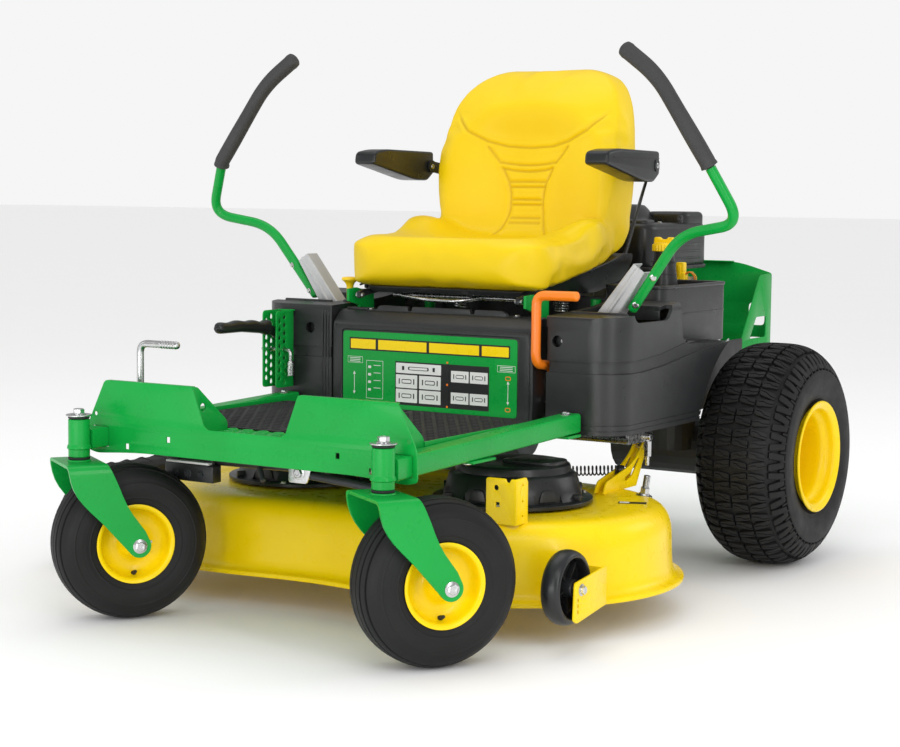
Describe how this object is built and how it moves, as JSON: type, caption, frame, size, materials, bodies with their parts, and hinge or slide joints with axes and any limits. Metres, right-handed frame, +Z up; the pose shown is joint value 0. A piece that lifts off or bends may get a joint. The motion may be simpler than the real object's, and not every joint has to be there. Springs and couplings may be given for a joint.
{
  "type": "zero-turn riding lawn mower",
  "caption": "Zero-turn riding mower with lap-bar levers, moulded seat, front swivel casters, rear drive wheels and an underslung mowing deck with side discharge.",
  "frame": {"origin": "on the ground, at the middle of the whole footprint", "axes": "+Z up; the mower drives towards -Y; +X is the operator's left"},
  "size_m": [1.3457, 1.7407, 1.0515],
  "materials": {
    "green": "gloss",
    "yellow": "gloss",
    "vinyl": "satin",
    "plastic": "matte",
    "rubber": "matte",
    "tyre": "matte",
    "foam": "matte",
    "zinc": "satin",
    "steel": "satin",
    "casting": "matte",
    "alloy": "satin",
    "orange": "satin",
    "yellow_plastic": "gloss"
  },
  "bodies": {
    "chassis": {"main_frame": "green", "foot_deck": "green", "foot_mat": "rubber", "console": "plastic", "fender_left": "plastic", "fender_right": "plastic", "front_rail_left": "green", "front_rail_right": "green", "transaxle_left": "casting", "transaxle_right": "casting", "fuel_tank": "plastic", "battery_box": "plastic", "height_quadrant": "green", "engine_block": "alloy", "blower_housing": "plastic", "rear_guard": "green"},
    "caster_left": {"caster_fork_left": "green", "caster_cap_left": "zinc", "caster_axle_left": "zinc"},
    "caster_wheel_left": {"caster_tyre_left": "tyre", "caster_rim_left": "yellow"},
    "rear_wheel_left": {"rear_tyre_left": "tyre", "rear_rim_left": "yellow"},
    "lap_pivot_left": {"lap_pivot_left": "steel"},
    "lap_lever_left": {"lap_channel_left": "steel", "lap_bar_left": "green", "lap_grip_left": "foam"},
    "blade_left": {"blade_left": "steel"},
    "scalp_wheel_left": {"scalp_wheel_left": "plastic"},
    "armrest_left": {"armrest_left": "plastic"},
    "caster_right": {"caster_fork_right": "green", "caster_cap_right": "zinc", "caster_axle_right": "zinc"},
    "caster_wheel_right": {"caster_tyre_right": "tyre", "caster_rim_right": "yellow"},
    "rear_wheel_right": {"rear_tyre_right": "tyre", "rear_rim_right": "yellow"},
    "lap_pivot_right": {"lap_pivot_right": "steel"},
    "lap_lever_right": {"lap_channel_right": "steel", "lap_bar_right": "green", "lap_grip_right": "foam"},
    "blade_right": {"blade_right": "steel"},
    "scalp_wheel_right": {"scalp_wheel_right": "plastic"},
    "armrest_right": {"armrest_right": "plastic"},
    "seat": {"seat_pan": "plastic", "seat_cushion": "vinyl", "armrest_yoke": "plastic"},
    "deck": {"deck_shell": "yellow", "belt_cover_left": "plastic", "belt_cover_right": "plastic"},
    "chute": {"discharge_chute": "rubber"},
    "lift_shaft": {"lift_shaft": "zinc"},
    "height_arm": {"height_lever": "steel", "height_grip": "plastic"},
    "hitch_pin": {"hitch_pin": "zinc"},
    "foot_pedal": {"lift_pedal": "zinc"},
    "brake": {"brake_lever": "orange"},
    "pto": {"pto_knob": "yellow_plastic"},
    "throttle": {"throttle_lever": "plastic"},
    "tank_cap": {"fuel_cap": "yellow_plastic"}
  },
  "joints": [
    {"name": "caster_swivel_left", "type": "hinge", "parent": "chassis", "child": "caster_left", "pos_m": [0.3897, -0.8013, 0.3285], "axis": [0, 0, 1], "continuous": true},
    {"name": "caster_spin_left", "type": "hinge", "parent": "caster_left", "child": "caster_wheel_left", "pos_m": [0.43882, -0.72624, 0.1397], "axis": [0.8368, -0.5476, 0], "continuous": true},
    {"name": "rear_spin_left", "type": "hinge", "parent": "chassis", "child": "rear_wheel_left", "pos_m": [0.5406, 0.4409, 0.2306], "axis": [1, 0, 0], "continuous": true},
    {"name": "lap_push_left", "type": "hinge", "parent": "chassis", "child": "lap_pivot_left", "pos_m": [0.3851, -0.0271, 0.455], "axis": [1, 0, 0], "range_deg": [-12, 18], "stiffness_Nm_per_rad": 30, "springref_deg": -0.92},
    {"name": "lap_swing_left", "type": "hinge", "parent": "lap_pivot_left", "child": "lap_lever_left", "pos_m": [0.3851, -0.0271, 0.53], "axis": [0, 1, 0], "range_deg": [0, 22]},
    {"name": "armrest_fold_left", "type": "hinge", "parent": "seat", "child": "armrest_left", "pos_m": [0.0651, 0.2189, 0.822], "axis": [-1, 0, 0], "range_deg": [0, 90]},
    {"name": "blade_spin_left", "type": "hinge", "parent": "deck", "child": "blade_left", "pos_m": [0.3051, -0.2441, 0.0805], "axis": [0, 0, 1], "continuous": true},
    {"name": "scalp_spin_left", "type": "hinge", "parent": "deck", "child": "scalp_wheel_left", "pos_m": [0.5701, -0.5191, 0.11], "axis": [1, 0, 0], "continuous": true},
    {"name": "caster_swivel_right", "type": "hinge", "parent": "chassis", "child": "caster_right", "pos_m": [-0.2595, -0.8013, 0.3285], "axis": [0, 0, 1], "continuous": true},
    {"name": "caster_spin_right", "type": "hinge", "parent": "caster_right", "child": "caster_wheel_right", "pos_m": [-0.21038, -0.72624, 0.1397], "axis": [0.8368, -0.5476, 0], "continuous": true},
    {"name": "rear_spin_right", "type": "hinge", "parent": "chassis", "child": "rear_wheel_right", "pos_m": [-0.4104, 0.4409, 0.2306], "axis": [1, 0, 0], "continuous": true},
    {"name": "lap_push_right", "type": "hinge", "parent": "chassis", "child": "lap_pivot_right", "pos_m": [-0.2549, -0.0271, 0.455], "axis": [1, 0, 0], "range_deg": [-12, 18], "stiffness_Nm_per_rad": 30, "springref_deg": -0.92},
    {"name": "lap_swing_right", "type": "hinge", "parent": "lap_pivot_right", "child": "lap_lever_right", "pos_m": [-0.2549, -0.0271, 0.53], "axis": [0, -1, 0], "range_deg": [0, 22]},
    {"name": "armrest_fold_right", "type": "hinge", "parent": "seat", "child": "armrest_right", "pos_m": [0.0651, 0.2189, 0.822], "axis": [-1, 0, 0], "range_deg": [0, 90]},
    {"name": "blade_spin_right", "type": "hinge", "parent": "deck", "child": "blade_right", "pos_m": [-0.1749, -0.2441, 0.0805], "axis": [0, 0, 1], "continuous": true},
    {"name": "scalp_spin_right", "type": "hinge", "parent": "deck", "child": "scalp_wheel_right", "pos_m": [-0.4399, -0.5191, 0.11], "axis": [1, 0, 0], "continuous": true},
    {"name": "seat_tilt", "type": "hinge", "parent": "chassis", "child": "seat", "pos_m": [0.0651, -0.1341, 0.56], "axis": [1, 0, 0], "range_deg": [0, 50]},
    {"name": "deck_lift", "type": "slide", "parent": "chassis", "child": "deck", "axis": [0, 0, 1], "range_m": [0, 0.025]},
    {"name": "chute_flip", "type": "hinge", "parent": "deck", "child": "chute", "pos_m": [-0.5029, -0.2691, 0.176], "axis": [0, 1, 0], "range_deg": [0, 70]},
    {"name": "lift_shaft_turn", "type": "hinge", "parent": "chassis", "child": "lift_shaft", "pos_m": [0.0651, -0.0091, 0.295], "axis": [1, 0, 0], "range_deg": [0, 17]},
    {"name": "height_arm_lift", "type": "hinge", "parent": "chassis", "child": "height_arm", "pos_m": [-0.2774, -0.0291, 0.4], "axis": [-1, 0, 0], "range_deg": [0, 6.5]},
    {"name": "pedal_push", "type": "hinge", "parent": "chassis", "child": "foot_pedal", "pos_m": [-0.2189, -0.6841, 0.325], "axis": [1, 0, 0], "range_deg": [0, 12.5]},
    {"name": "hitch_pin_pull", "type": "slide", "parent": "chassis", "child": "hitch_pin", "axis": [1, 0, 0], "range_m": [0, 0.07]},
    {"name": "brake_pull", "type": "hinge", "parent": "chassis", "child": "brake", "pos_m": [0.3133, -0.1091, 0.37], "axis": [-1, 0, 0], "range_deg": [0, 20]},
    {"name": "pto_pull", "type": "slide", "parent": "chassis", "child": "pto", "axis": [0, 0, 1], "range_m": [0, 0.012]},
    {"name": "throttle_push", "type": "hinge", "parent": "chassis", "child": "throttle", "pos_m": [-0.2449, 0.0709, 0.562], "axis": [1, 0, 0], "range_deg": [0, 30]},
    {"name": "cap_turn", "type": "hinge", "parent": "chassis", "child": "tank_cap", "pos_m": [0.3171, 0.3559, 0.657], "axis": [0, 0, 1], "continuous": true}
  ],
  "couplings": [
    {"joint": "lift_shaft_turn", "follows": "deck_lift", "rad_per_m": 11.1},
    {"joint": "height_arm_lift", "follows": "deck_lift", "rad_per_m": 4},
    {"joint": "pedal_push", "follows": "deck_lift", "rad_per_m": 8.4},
    {"joint": "blade_spin_right", "follows": "blade_spin_left", "ratio": 1}
  ]
}
